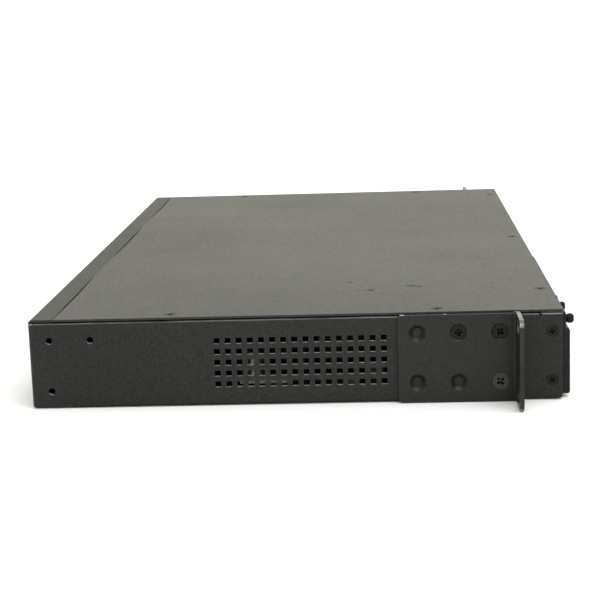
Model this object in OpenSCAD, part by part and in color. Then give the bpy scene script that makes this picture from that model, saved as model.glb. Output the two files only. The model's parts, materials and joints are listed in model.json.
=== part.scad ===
// Rack-mount firewall appliance, one rack unit high.
// X runs across the rack, the front faces -Y and Z is up.
// The origin is the centre of the footprint, on the surface it rests on.

/* [Chassis] */
// Width of the body between the rack ears
body_w = 437; // [436:0.5:438]
// Depth of the body from the front panel to the rear wall
body_d = 254; // [254:1:262]
// Height of the body
body_h = 43.7; // [43.5:0.1:44]
// Thickness of the chassis sheet
sheet_t = 1.2; // [1:0.1:1.4]
// Thickness of the top cover sheet
cover_t = 1; // [0.8:0.1:1.2]
// Outside radius of the sheet bends
bend_r = 2.4; // [1.6:0.1:2.4]
// Depth of the fixed strip along the rear edge of the top
strip_d = 12; // [10:0.5:14]
// Open gap between the side walls and the cover
cover_gap = 0.9; // [0.8:0.1:1.4]
// Depth of the bowed gaps between cover and rear strip
seam_bow = 0.9; // [0.5:0.1:1.2]

/* [Side vents] */
// Columns of vent holes
vent_cols = 16; // [4:1:16]
// Rows of vent holes
vent_rows = 5; // [2:1:5]
// Distance between vent holes
vent_pitch = 5.3; // [5:0.1:5.4]
// Side of each square vent hole
vent_hole = 2.8; // [2:0.1:3.2]
// Distance from the rear wall to the first column
vent_start = 90.5; // [85:0.5:92]
// Height of the top row
vent_top = 31.7; // [30:0.1:34]

/* [Rack ears] */
// Width over both ears
rack_w = 482.6; // [482:0.1:483]
// Thickness of the ear plates
ear_t = 2; // [1.6:0.1:2.2]
// Distance from the front panel back to the ear flange
ear_setback = 20; // [16:0.5:22]
// Distance from the front panel to the rear end of the ear
ear_reach = 77.4; // [74:0.1:80]
// Distance between the slot centres across the rack
slot_span = 465.1; // [464:0.1:466]
// Distance between the slots of one ear
slot_rise = 31.75; // [31.7:0.05:31.8]
// Width of each rack slot
slot_w = 7; // [6.5:0.1:7.2]
// End-to-end length of each rack slot
slot_l = 10.5; // [9:0.1:12]

/* [Front modules] */
// Height of the thumbscrews that hold the modules
thumb_z = 37.5; // [37:0.1:38]
// Diameter of the thumbscrew knobs
knob_d = 4.6; // [4.6:0.1:5.4]
// How far the outer storage thumbscrew stands out of the front panel
storage_knob = 6.2; // [6:0.1:7.5]
// How far the inner storage thumbscrew stands out of the front panel
inner_knob = 5.4; // [5.2:0.1:6]
// How far the expansion thumbscrews stand out of the front panel
module_knob = 3.7; // [3.6:0.1:5]
// Depth of the storage sled
storage_d = 76; // [70:1:78]
// Depth of the expansion sled
module_d = 114; // [100:1:116]
// Thickness of the raised block on the storage face
block_t = 2.1; // [1.8:0.1:2.4]

/* [Rear] */
// Side of the square fans
fan_size = 40; // [40:1:40]
// Depth of the fans
fan_d = 28; // [20:1:28]
// Full rocking angle of the power switch
rock_angle = 18; // [14:1:20]
// Height of the ground screw head
ground_h = 2.6; // [2.6:0.1:3.6]

/* [Hidden] */
$fn = 48;

eps = 0.01;
shift_y = (storage_knob - ground_h) / 2;
front_y = -body_d / 2 + shift_y;
rear_y = body_d / 2 + shift_y;
side_x = body_w / 2;
cover_z = body_h - cover_t;
wall_top = cover_z - cover_gap;
mid_z = body_h / 2;

function from_front(d) = front_y + d;
function from_rear(d) = rear_y - d;
function from_left(w) = -side_x + w;

// Chassis fixings
raise_d = 9.7;
relief_w = 1.1;
fold_r = 1.5;
fold_w = 2.9;
corner_wrap = 2.6;
joggle_h = 1;
joggle_rear = 38;
joggle_w = 3;
tap_r = 1.65;
rear_holes = [[10, 33.4], [29.9, 33.4], [10, 8.5]];
ear_cols = [29.3, 48.8, 68.3];
ear_rows = [9.9, 33.8];
// Each fitted ear screw, as [from the front, height, depth of the head, turn of its cross]
ear_fixed = [[29.3, 9.9, 0.1, 40], [29.3, 33.8, 0.4, 52], [48.8, 33.8, 0.5, 8]];
ear_head_d = 8.2;
ear_neck_r = ear_head_d / 2 - ear_t + 0.05;
ear_z0 = 0.3;
ear_z1 = 43.3;
plate_z1 = 42.6;
inner_bend = 1;
small_head_d = 6;
small_sink_d = small_head_d + 0.3;
small_sunk = 0.1;
panel_head_d = 5.6;
panel_neck_r = 1.75;
panel_sunk = 0.15;
small_thread_r = 1.4;
side_screw_y = [58.5, 186];
side_screw_in = 7;
front_screw_x = [-168, -4, 185.5];
front_screw_in = 5.5;
tab_w = 14;
tab_reach = 13;
panel_t = 1.5;
port_plate_t = 1;
port_lap = 3;
return_d = 10.3;
panel_screw_z = [9.6, 33];
panel_screw_in = 4.8;
hem_in = 3.2;
hem_z = 36.7;

// Seam spans along the rear strip
seam_x = [-164, 12, 168];
seam_w = 124;

// Storage module
storage_x0 = from_left(3.5);
storage_x1 = from_left(44);
storage_bay = [from_left(5), from_left(42), 3.5, 33];
storage_knob_x = [from_left(8), from_left(36)];
face_t = 1.8;
face_z0 = 2;
face_z1 = 41.3;
block_z1 = 33.5;
run_gap = 0.3;
sled_t = 1;
sled_side = 12;
card_z = 10;
card_t = 1.6;
card_tongue = 4;
thumb_r = 1.5;
thumb_hole_r = 1.56;
boss_r = 2.8;
boss_l = 3;

// Expansion module
module_x0 = from_left(48);
module_x1 = from_left(156.5);
module_bay = [from_left(56.5), from_left(148), 3.5, 33.5];
module_knob_at = [[from_left(53), thumb_z], [from_left(151.5), 6]];
cage_w = 14.5;
cage_h = 9.8;
cage_d = 48;
cage_wall = 0.4;
module_cage_x = -145;

// Main board
board_z = 6.2;
board_t = 1.6;
board_top = board_z + board_t;
board_x0 = from_left(7.5);
board_x1 = 142;
wing_x = -172;
step_x = -58;
board_y0 = from_front(6);
wing_y = from_front(84);
step_y = from_front(124);
board_y1 = from_front(215);
post_at = [[-50, 40], [-50, 118], [134, 14], [134, 118], [134, 208], [20, 208], [-90, 208],
    [-204, 208], [-204, 100], [-70, 132]];
post_r = 1.25;

// Ports along the front, as left edge, width and height
jack_w = 14;
jack_pitch_z = 13;
jack_z = 14.4;
stack_h = 26.5;
jack_d = 25;
management_x = -52;
usb_x = -30;
usb_w = 14.6;
usb_h = 15.6;
console_x = -8;
single_h = 13.6;
block_x = 16;
block_cols = 4;
fixed_cage_x = 82;
pipe_x = [119, 124, 129];
pipe_z = [12, 19];
pipe_r = 1.25;
reset_at = [124, 27];
reset_r = 1.5;
reset_travel = 1;
front_vent_x = 142;
front_vent_cols = 13;
front_vent_z = 31.7;

// Processor and memory
cpu_at = [45, 158];
cpu_w = 37;
cpu_h = 4;
sink_w = 80;
sink_h = 26;
chip_at = [44, 74];
chip_w = 27;
chip_h = 2.4;
chip_sink_w = 40;
dimm_at = [[-152, 134], [-152, 170]];
dimm_w = 69.6;
cell_at = [112, 100];
cell_r = 10;
cell_t = 3.2;
can_at = [[-203.5, 146.6, 4, 15.6], [104, 132, 4, 12], [104, 144, 4, 12], [104, 156, 4, 12],
    [104, 168, 4, 12], [-10, 150, 4, 12], [-10, 162, 4, 12], [-38, 60, 3, 8], [-38, 70, 3, 8]];
coil_at = [[118, 132], [118, 146], [118, 160], [118, 174]];
header_span = [131, 154];

// Power supply
psu_x0 = 147;
psu_x1 = 214.3;
psu_y = [62, 222];
psu_h = 38;
psu_t = 1;
psu_top = 7.6;

// Cables
cable_sides = 10;
harness_x = [135, 157];
harness_y = 198;
harness_z = 24;
harness_bend = 7;
harness_r = 3;
plug_h = 8;
header_y = 206;
lead_in = 14;
lead_z = 20;
lead_bend = 4;
lead_r = 1.2;

// Rear wall
fan_x = [-155, -55, 45];
fan_z = 21.4;
fan_bore_r = 19;
fan_screw_pitch = 32;
fan_hub_r = 10.5;
rotor_r = 18;
shaft_r = 1.5;
shaft_hole_r = 1.54;
blades = 7;
grille_r = 2.1;
grille_pitch = 5;
grille_reach = 17.2;
inlet_x = 186;
inlet_z = 22;
inlet_open = [24.6, 16.4];
inlet_d = 15.5;
rocker_x = 154;
rocker_z = 22;
rocker_open = [13, 19.4];
pivot_in = 2;
pivot_r = 1.2;
pivot_hole_r = 1.26;
ground_at = [128, 10];

// Paint and material colours
coat = [0.17, 0.17, 0.17];
module_coat = [0.1, 0.1, 0.1];
cover_coat = [0.36, 0.36, 0.34];
zinc = [0.62, 0.62, 0.6];
black_zinc = [0.09, 0.09, 0.09];
board_green = [0.05, 0.27, 0.16];
chip_black = [0.07, 0.07, 0.08];
bare_alu = [0.72, 0.73, 0.74];
shield_steel = [0.66, 0.67, 0.68];
black_plastic = [0.06, 0.06, 0.06];
ivory_plastic = [0.86, 0.84, 0.76];

// ---- Shared shapes ----

module rounded_rect(x0, y0, x1, y1, r) {
    translate([x0 + r, y0]) square([x1 - x0 - 2 * r, y1 - y0]);
    translate([x0, y0 + r]) square([x1 - x0, y1 - y0 - 2 * r]);
    for (x = [x0 + r, x1 - r], y = [y0 + r, y1 - r]) translate([x, y]) circle(r);
}

module box(x0, y0, z0, x1, y1, z1) {
    translate([x0, y0, z0]) cube([x1 - x0, y1 - y0, z1 - z0]);
}

// Each of these turns +Z towards the outside of that wall
module facing_left() {
    rotate([0, -90, 0]) children();
}

module facing_right() {
    rotate([0, 90, 0]) children();
}

module facing_front() {
    rotate([90, 0, 0]) children();
}

module facing_rear() {
    rotate([-90, 0, 0]) children();
}

// Draws its children on the left side and mirrored on the right side
module both_sides() {
    children();
    mirror([1, 0, 0]) children();
}

// Cross recess below z = 0
module cross_recess(w, d) {
    for (a = [0, 90]) rotate([0, 0, a]) translate([-w / 2, -w / 7, -d]) cube([w, w / 3.5, d + 1]);
}

// Countersunk screw whose flat head ends at z = 0 and tapers to neck_r
module flat_screw(head_d, thread_r, length, neck_r, turn = 0) {
    head_h = head_d / 2 - neck_r;
    difference() {
        union() {
            translate([0, 0, -head_h]) cylinder(head_h, neck_r, head_d / 2);
            translate([0, 0, -length]) cylinder(length - head_h + eps, r = thread_r);
        }
        rotate([0, 0, turn]) cross_recess(head_d * 0.5, head_h * 0.8);
    }
}

// Countersunk hole for that screw
module flat_sink(head_d, hole_r, depth) {
    sink_h = head_d / 2 - hole_r + 0.05;
    translate([0, 0, -sink_h]) cylinder(sink_h + eps, hole_r, head_d / 2 + 0.05);
    translate([0, 0, -depth]) cylinder(depth, r = hole_r);
}

// Screw with a domed head that sits on z = 0
module pan_screw(head_d, head_h, thread_r, length) {
    difference() {
        union() {
            cylinder(head_h * 0.6, r = head_d / 2);
            translate([0, 0, head_h * 0.6]) cylinder(head_h * 0.4, head_d / 2, head_d / 3);
            translate([0, 0, -length]) cylinder(length, r = thread_r);
        }
        translate([0, 0, head_h]) cross_recess(head_d * 0.5, head_h * 0.5);
    }
}

// Square vent holes in the XY plane, starting at the first hole's centre
module vent_grid(cols, rows) {
    for (c = [0:cols - 1], r = [0:rows - 1])
        translate([c * vent_pitch - vent_hole / 2, -r * vent_pitch - vent_hole / 2])
            square(vent_hole);
}

// ---- Sheet metal ----

// Body outline, taken in by g on every side
module envelope(g) {
    r = bend_r - g;
    intersection() {
        translate([0, 0, g]) linear_extrude(body_h - 2 * g)
            rounded_rect(-side_x + g, front_y - g - 2 * bend_r, side_x - g, rear_y - g, r);
        translate([0, rear_y, 0]) rotate([90, 0, 0]) linear_extrude(body_d + g)
            rounded_rect(-side_x + g, g, side_x - g, 2 * body_h, r);
        translate([-side_x, 0, 0]) rotate([90, 0, 90]) linear_extrude(body_w) union() {
            rounded_rect(front_y - g, g, rear_y - g, body_h - g, r);
            translate([front_y - g, mid_z]) square([body_d / 2, mid_z - g]);
            if (g > 0) translate([front_y - g, g]) square([body_d / 2, mid_z]);
        }
    }
}

// Everything above the side walls that the cover replaces
module cover_clearance() {
    box(-side_x + sheet_t, front_y - 1, mid_z, side_x - sheet_t, from_rear(strip_d), body_h + 1);
    box(-side_x - 1, front_y - 1, cover_z, side_x + 1, from_rear(strip_d), body_h + 1);
    box(-side_x - 1, from_front(raise_d), wall_top, side_x + 1, from_rear(strip_d), body_h + 1);
    both_sides() box(-side_x - 1, from_rear(strip_d) - eps, wall_top,
        -side_x + sheet_t + 1, from_rear(corner_wrap), body_h - sheet_t);
    both_sides() box(-side_x - 1, from_front(raise_d), wall_top - relief_w,
        -side_x + sheet_t + 1, from_front(raise_d + relief_w), body_h);
}

// Top edge of the left wall, folded inwards
module wall_fold() {
    box(-side_x + sheet_t - eps, from_front(raise_d + relief_w), wall_top - sheet_t,
        -side_x + fold_w, from_rear(corner_wrap), wall_top);
}

// Rounds the outside of that fold
module fold_rounding() {
    translate([-side_x, from_rear(corner_wrap), wall_top]) rotate([90, 0, 0])
        linear_extrude(body_d - corner_wrap - raise_d - relief_w) difference() {
            translate([-1, -fold_r]) square([fold_r + 1, fold_r + 0.5]);
            translate([fold_r, -fold_r]) circle(fold_r);
        }
}

// Openings in the side walls, cut on both sides
module side_cuts() {
    translate([-side_x - 1, from_rear(vent_start), vent_top]) rotate([90, 0, 90])
        linear_extrude(body_w + 2) mirror([1, 0, 0]) vent_grid(vent_cols, vent_rows);
    for (h = rear_holes) translate([-side_x - 1, from_rear(h[0]), h[1]]) facing_right()
        cylinder(body_w + 2, r = tap_r);
    for (h = ear_fixed) translate([-side_x - 1, from_front(h[0]), h[1]]) facing_right()
        cylinder(body_w + 2, r = tap_r);
    both_sides() for (z = panel_screw_z)
        translate([-side_x, from_front(panel_screw_in), z]) facing_left()
            flat_sink(small_head_d, small_thread_r + 0.1, sheet_t + 1);
    both_sides() box(-side_x - 1, from_front(ear_reach), -1,
        -side_x + joggle_w, from_rear(joggle_rear), joggle_h);
}

// Staggered round holes in the XY plane
module fan_grille() {
    rows = floor(grille_reach / (grille_pitch * 0.866));
    for (r = [-rows:rows], c = [-4:4]) {
        x = (c + (r % 2 == 0 ? 0 : 0.5)) * grille_pitch;
        y = r * grille_pitch * 0.866;
        if (norm([x, y]) < grille_reach) translate([x, y]) circle(grille_r, $fn = 24);
    }
}

module rear_cuts() {
    for (x = fan_x) translate([x, rear_y + 1, fan_z]) facing_front()
        linear_extrude(sheet_t + 2) fan_grille();
    for (x = fan_x, dx = [-1, 1], dz = [-1, 1])
        translate([x + dx * fan_screw_pitch / 2, rear_y + 1, fan_z + dz * fan_screw_pitch / 2])
            facing_front() cylinder(sheet_t + 2, r = 1.8);
    box(inlet_x - 13.8, from_rear(sheet_t + 1), inlet_z - 10.1,
        inlet_x + 13.8, rear_y + 1, inlet_z + 10.1);
    box(rocker_x - rocker_open[0] / 2 - 0.8, from_rear(sheet_t + 1),
        rocker_z - rocker_open[1] / 2 - 0.8, rocker_x + rocker_open[0] / 2 + 0.8,
        rear_y + 1, rocker_z + rocker_open[1] / 2 + 0.8);
    translate([ground_at[0], rear_y + 1, ground_at[1]]) facing_front()
        cylinder(sheet_t + 2, r = 1.7);
}

// Bracket welded inside the side wall for one cover screw, with a raised pad under the cover
module cover_tab(y) {
    difference() {
        union() {
            box(-side_x + sheet_t - eps, y - tab_w / 2, wall_top - sheet_t,
                -side_x + tab_reach, y + tab_w / 2, wall_top - eps);
            box(-side_x + sheet_t - eps, y - tab_w / 2, hem_z,
                -side_x + 2 * sheet_t, y + tab_w / 2, wall_top - sheet_t + eps);
            box(-side_x + fold_w, y - tab_w / 2, wall_top - 2 * eps,
                -side_x + tab_reach, y + tab_w / 2, cover_z);
        }
        translate([-side_x + side_screw_in, y, cover_z])
            flat_sink(small_sink_d - 2 * cover_t, small_thread_r + 0.1, 3);
    }
}

module base_tray() {
    color(coat) {
        difference() {
            union() {
                difference() {
                    envelope(0);
                    envelope(sheet_t);
                    cover_clearance();
                }
                both_sides() wall_fold();
            }
            both_sides() fold_rounding();
            side_cuts();
            rear_cuts();
        }
        both_sides() for (y = side_screw_y) cover_tab(from_front(y));
        both_sides() box(-side_x + sheet_t - eps, from_front(ear_reach), sheet_t - eps,
            -side_x + joggle_w + sheet_t, from_rear(joggle_rear), sheet_t + joggle_h);
        box(-side_x + 4, from_rear(strip_d + 8), wall_top, side_x - 4, from_rear(strip_d - 2),
            cover_z);
    }
}

// Shallow bow that opens the seam over one span
function bow(w, s) = [for (i = [0:12]) [w * (i / 12 - 0.5), -s * (1 - pow(i / 6 - 1, 2))]];

module top_cover() {
    color(cover_coat) difference() {
        union() {
            box(-side_x, front_y, cover_z, side_x, from_rear(strip_d), body_h);
            both_sides() box(-side_x + hem_in, from_front(return_d + 4), hem_z,
                -side_x + hem_in + cover_t, from_rear(strip_d + 12), cover_z + eps);
        }
        for (x = seam_x) translate([x, from_rear(strip_d), cover_z - 1])
            linear_extrude(cover_t + 2) polygon(concat(bow(seam_w, seam_bow), [[0, 1]]));
        both_sides() for (y = side_screw_y) {
            translate([-side_x + side_screw_in, from_front(y), body_h])
                flat_sink(small_sink_d, small_thread_r + 0.1, cover_t + 1);
            box(-side_x + hem_in - 1, from_front(y) - tab_w / 2 - 1, hem_z - 1,
                -side_x + hem_in + cover_t + 1, from_front(y) + tab_w / 2 + 1, cover_z);
        }
        for (x = front_screw_x) translate([x, from_front(front_screw_in), body_h])
            flat_sink(small_sink_d, small_thread_r + 0.1, cover_t + 1);
    }
}

// Cut-outs in the port plate, as [x0, z0, x1, z1]
port_windows = [
    [management_x - 0.3, board_top - 0.3, management_x + jack_w + 2.3, board_top + stack_h + 0.3],
    [usb_x - 0.3, board_top - 0.3, usb_x + usb_w + 0.3, board_top + usb_h + 0.3],
    [console_x - 0.3, board_top - 0.3, console_x + jack_w + 2.3, board_top + single_h + 0.3],
    [block_x - 0.3, board_top - 0.3, block_x + block_cols * jack_w + 0.3, board_top + stack_h + 0.3],
    [fixed_cage_x - 0.3, board_top - 0.3, fixed_cage_x + 2 * cage_w + 0.3, board_top + cage_h + 0.3]
];
// One opening in the front panel for all the ports
port_opening = [management_x - 0.3, board_top - 0.3, fixed_cage_x + 2 * cage_w + 0.3,
    board_top + stack_h + 0.3];
// Cut-outs in the front panel, as [x0, z0, x1, z1]
panel_windows = [
    [storage_bay[0], storage_bay[2], storage_bay[1], storage_bay[3]],
    [module_bay[0], module_bay[2], module_bay[1], module_bay[3]],
    port_opening
];

module front_panel() {
    px = side_x - sheet_t - 0.1;
    bosses = concat([for (x = storage_knob_x) [x, thumb_z]], module_knob_at);
    color(coat) difference() {
        union() {
            box(-px, front_y, sheet_t, px, from_front(panel_t), cover_z);
            box(-px, from_front(panel_t) - eps, cover_z - sheet_t, px, from_front(return_d), cover_z);
            both_sides() box(-px, from_front(panel_t) - eps, bend_r,
                -px + sheet_t, from_front(return_d), cover_z);
            for (b = bosses) translate([b[0], from_front(panel_t + boss_l), b[1]]) facing_front()
                cylinder(boss_l + eps, r = boss_r);
        }
        for (w = panel_windows) box(w[0], front_y - 1, w[1], w[2], from_front(panel_t + 1), w[3]);
        for (b = bosses) translate([b[0], from_front(panel_t + boss_l + 1), b[1]]) facing_front()
            cylinder(panel_t + boss_l + 2, r = thumb_hole_r);
        for (x = pipe_x, z = pipe_z) translate([x, from_front(panel_t + 1), z]) facing_front()
            cylinder(panel_t + 2, r = pipe_r + 0.1);
        translate([reset_at[0], from_front(panel_t + 1), reset_at[1]]) facing_front()
            cylinder(panel_t + 2, r = reset_r + 0.3);
        translate([front_vent_x, from_front(panel_t + 1), front_vent_z]) facing_front()
            linear_extrude(panel_t + 2) vent_grid(front_vent_cols, vent_rows);
        both_sides() for (z = panel_screw_z)
            translate([-px - 1, from_front(panel_screw_in), z]) facing_right()
                cylinder(sheet_t + 2, r = small_thread_r + 0.1);
        for (x = front_screw_x) translate([x, from_front(front_screw_in), cover_z])
            flat_sink(small_sink_d - 2 * cover_t, small_thread_r + 0.1, 3);
    }
}

// Plate welded behind the front panel, which fills the space around the ports
module port_plate() {
    color(coat) difference() {
        box(port_opening[0] - port_lap, from_front(panel_t), port_opening[1] - port_lap,
            port_opening[2] + port_lap, from_front(panel_t + port_plate_t),
            port_opening[3] + port_lap);
        for (w = port_windows) box(w[0], front_y, w[1], w[2], from_front(panel_t + 2), w[3]);
    }
}

// ---- Rack ears ----

module ear() {
    bend_c = [-side_x - ear_t - inner_bend, from_front(ear_setback) + ear_t + inner_bend];
    color(coat) difference() {
        union() {
            intersection() {
                linear_extrude(body_h) {
                    translate([-rack_w / 2, from_front(ear_setback)])
                        square([bend_c[0] + rack_w / 2, ear_t]);
                    intersection() {
                        translate(bend_c) difference() {
                            circle(ear_t + inner_bend);
                            circle(inner_bend);
                        }
                        translate([bend_c[0], bend_c[1] - 5]) square(5);
                    }
                }
                translate([0, rear_y, 0]) rotate([90, 0, 0]) linear_extrude(2 * body_d)
                    rounded_rect(-rack_w / 2, ear_z0, 0, ear_z1, 3);
            }
            translate([-side_x - ear_t, 0, 0]) rotate([90, 0, 90]) linear_extrude(ear_t)
                difference() {
                    rounded_rect(bend_c[1] - 10, ear_z0, from_front(ear_reach), plate_z1, 1.8);
                    translate([bend_c[1] - 20, -1]) square([20, body_h + 2]);
                }
        }
        for (y = ear_cols, z = ear_rows) translate([-side_x - ear_t, from_front(y), z])
            facing_left() flat_sink(ear_head_d, tap_r + 0.35, ear_t + 1);
        for (z = [-1, 1]) translate([-slot_span / 2, from_front(ear_setback - 1),
            mid_z + z * slot_rise / 2]) rack_slot();
    }
}

// Round-ended slot along X, cut through the flange
module rack_slot() {
    half = (slot_l - slot_w) / 2;
    for (dx = [-half, half]) translate([dx, 0, 0]) facing_rear()
        cylinder(ear_t + 2, r = slot_w / 2);
    translate([-half, 0, -slot_w / 2]) cube([2 * half, ear_t + 2, slot_w]);
}

module ear_left() {
    ear();
}

module ear_right() {
    mirror([1, 0, 0]) ear();
}

module ear_screws() {
    color(black_zinc) both_sides() for (h = ear_fixed)
        translate([-side_x - ear_t + h[2], from_front(h[0]), h[1]]) facing_left()
            flat_screw(ear_head_d - 2 * h[2], tap_r - 0.1, 5, ear_neck_r, h[3]);
}

module cover_screws() {
    color(black_zinc) {
        both_sides() for (y = side_screw_y)
            translate([-side_x + side_screw_in, from_front(y), body_h - small_sunk])
                flat_screw(small_head_d, small_thread_r, 4, small_thread_r, y);
        for (x = front_screw_x) translate([x, from_front(front_screw_in), body_h - small_sunk])
            flat_screw(small_head_d, small_thread_r, 4, small_thread_r, x);
    }
}

module panel_screws() {
    color(black_zinc) both_sides() for (z = panel_screw_z)
        translate([-side_x + panel_sunk, from_front(panel_screw_in), z]) facing_left()
            flat_screw(panel_head_d, small_thread_r, 4, panel_neck_r, 3 * z);
}

// ---- Main board ----

module main_board() {
    color(board_green) translate([0, 0, board_z]) difference() {
        linear_extrude(board_t) polygon([[step_x, board_y0], [board_x1, board_y0],
            [board_x1, board_y1], [board_x0, board_y1], [board_x0, wing_y], [wing_x, wing_y],
            [wing_x, step_y], [step_x, step_y]]);
        for (p = post_at) translate([p[0], from_front(p[1]), -1]) cylinder(4, r = 1.6);
    }
}

module board_standoffs() {
    color(zinc) for (p = post_at) translate([p[0], from_front(p[1]), sheet_t]) difference() {
        cylinder(board_z - sheet_t, r = 3, $fn = 6);
        translate([0, 0, 0.5]) cylinder(board_z, r = post_r);
    }
}

// Screws of the board and of the heat sink on it
module board_screws() {
    color(zinc) {
        for (p = post_at) translate([p[0], from_front(p[1]), board_top])
            pan_screw(5.6, 2, post_r - 0.05, 5);
        for (c = corners(35))
            translate([cpu_at[0] + c[0], from_front(cpu_at[1]) + c[1], board_top + cpu_h + 4])
                pan_screw(6, 2.4, 1.5, 4 + cpu_h);
    }
}

module processor() {
    color(chip_black) translate([cpu_at[0], from_front(cpu_at[1]), board_top]) {
        translate([-cpu_w / 2, -cpu_w / 2, 0]) cube([cpu_w, cpu_w, 1.4]);
        translate([-13, -13, 1.4 - eps]) cube([26, 26, cpu_h - 1.4 + eps]);
    }
}

// Finned heat sink with its underside at z = 0
module heatsink(w, base, h, fins, fin_t) {
    translate([-w / 2, -w / 2, 0]) cube([w, w, base]);
    for (i = [0:fins - 1]) translate([-w / 2 + i * (w - fin_t) / (fins - 1), -w / 2, base - eps])
        cube([fin_t, w, h - base + eps]);
}

// Corner positions of a square pattern
function corners(s) = [for (x = [-s, s], y = [-s, s]) [x, y]];

module cpu_heatsink() {
    color(bare_alu) translate([cpu_at[0], from_front(cpu_at[1]), board_top + cpu_h])
        difference() {
            heatsink(sink_w, 4, sink_h, 20, 1);
            for (c = corners(35)) translate([c[0], c[1], -1]) {
                cylinder(6, r = 1.7);
                translate([0, 0, 5 - eps]) cylinder(sink_h, r = 4);
            }
        }
}

module network_chip() {
    color(chip_black) translate([chip_at[0] - chip_w / 2, from_front(chip_at[1]) - chip_w / 2,
        board_top]) cube([chip_w, chip_w, chip_h]);
}

module network_heatsink() {
    color(bare_alu) translate([chip_at[0], from_front(chip_at[1]), board_top + chip_h])
        heatsink(chip_sink_w, 3, 14, 12, 1);
}

module memory_sockets() {
    color(black_plastic) for (d = dimm_at) translate([d[0], from_front(d[1]), board_top])
        difference() {
            union() {
                cube([dimm_w + 4, 6, 5.2]);
                for (x = [0, dimm_w + 2]) translate([x, 6 - eps, 0]) cube([2, 14, 3.2]);
            }
            translate([2 - run_gap, 3, 3.4 - 0.05]) cube([dimm_w + 2 * run_gap, 4, 1.3]);
        }
}

module memory_modules() {
    color(board_green) for (d = dimm_at) translate([d[0] + 2, from_front(d[1]) + 3.3,
        board_top + 3.4]) {
        cube([dimm_w, 30, 1.2]);
        for (x = [4, 20, 37, 53]) translate([x, 8, 1.2 - eps]) cube([12, 14, 1]);
    }
}

module cell_holder() {
    color(black_plastic) translate([cell_at[0], from_front(cell_at[1]), board_top]) difference() {
        cylinder(4.6, r = cell_r + 1.6);
        translate([0, 0, 1.2]) cylinder(5, r = cell_r + 0.2);
        translate([-4, -cell_r - 3, 1.2]) cube([8, 6, 5]);
    }
}

module coin_cell() {
    color(zinc) translate([cell_at[0], from_front(cell_at[1]), board_top + 1.2]) {
        cylinder(cell_t - 0.6, r = cell_r);
        translate([0, 0, cell_t - 0.6 - eps]) cylinder(0.6, r = cell_r - 0.8);
    }
}

module capacitors() {
    color(bare_alu) for (c = can_at) translate([c[0], from_front(c[1]), board_top]) {
        cylinder(c[3] - 0.6, r = c[2]);
        translate([0, 0, c[3] - 0.6 - eps]) cylinder(0.6, c[2], c[2] - 0.5);
    }
}

module inductors() {
    color(chip_black) for (c = coil_at) translate([c[0], from_front(c[1]), board_top])
        translate([-5, -5, 0]) cube([10, 10, 5]);
}

module aux_header() {
    color(ivory_plastic) difference() {
        box(board_x0 + 0.5, from_front(header_span[0]), board_top,
            board_x0 + 3.2, from_front(header_span[1]), board_top + 2.2);
        for (y = [header_span[0] + 1:2:header_span[1] - 2])
            box(board_x0 + 1.2, from_front(y), board_top + 1,
                board_x0 + 2.5, from_front(y) + 1, board_top + 3);
    }
}

// ---- Front ports ----

// Jack cavity open towards -Y, with its latch slot below or above the plug
module jack_cavity(flip) {
    mirror([0, 0, flip]) {
        box(-5.95, -1, -3.4, 5.95, 13, 3.4);
        box(-3.1, -1, -4.4, 3.1, 13, -3.3);
        box(-2, -1, -5.2, 2, 13, -4.3);
    }
}

// Jack housings with the front at y = 0 and the base at z = 0
module jack_stack(cols, rows, w, h) {
    difference() {
        cube([w, jack_d, h]);
        for (c = [0:cols - 1], r = [0:rows - 1])
            translate([w / 2 + (c - (cols - 1) / 2) * jack_w, 0,
                jack_z - board_top + r * jack_pitch_z]) jack_cavity(rows > 1 && r == 0 ? 1 : 0);
    }
}

module port_block() {
    color(shield_steel) translate([block_x, front_y, board_top])
        jack_stack(block_cols, 2, block_cols * jack_w, stack_h);
}

module management_ports() {
    color(shield_steel) translate([management_x, front_y, board_top])
        jack_stack(1, 2, jack_w + 2, stack_h);
}

module console_port() {
    color(shield_steel) translate([console_x, front_y, board_top])
        jack_stack(1, 1, jack_w + 2, single_h);
}

module usb_ports() {
    color(shield_steel) translate([usb_x, front_y, board_top]) {
        difference() {
            cube([usb_w, 17, usb_h]);
            for (z = [1.4, 9]) box(1, -1, z, usb_w - 1, 14, z + 5.2);
        }
        for (z = [1.4, 9]) box(1.8, 1.5, z + 3, usb_w - 1.8, 14 + eps, z + 4.8);
    }
}

// Row of transceiver cages with the front at y = 0 and the base at z = 0
module cage_row(count) {
    difference() {
        cube([count * cage_w, cage_d, cage_h]);
        for (i = [0:count - 1]) box(i * cage_w + cage_wall, -1, cage_wall,
            (i + 1) * cage_w - cage_wall, cage_d - 2, cage_h - cage_wall);
    }
}

module sfp_cages() {
    color(shield_steel) translate([fixed_cage_x, front_y, board_top]) cage_row(2);
}

module light_pipes() {
    color([0.85, 0.9, 0.88]) for (x = pipe_x, z = pipe_z)
        translate([x, from_front(9), z]) facing_front() cylinder(9, r = pipe_r);
    color([0.85, 0.9, 0.88]) for (x = pipe_x)
        box(x - 1.5, from_front(9) - eps, board_top, x + 1.5, from_front(12), pipe_z[1] + 2);
}

module reset_switch() {
    color(black_plastic) {
        box(reset_at[0] - 3, from_front(12.2), board_top, reset_at[0] + 3, from_front(13.8),
            reset_at[1] + 3);
        box(reset_at[0] - 3, from_front(8.5), reset_at[1] - 3, reset_at[0] + 3,
            from_front(12.2) + eps, reset_at[1] + 3);
    }
}

module reset_button() {
    color(black_plastic) translate([reset_at[0], from_front(8.4 - reset_travel), reset_at[1]])
        facing_front() cylinder(8.4 - reset_travel - 0.2, r = reset_r);
}

// ---- Slide-in modules ----

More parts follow.
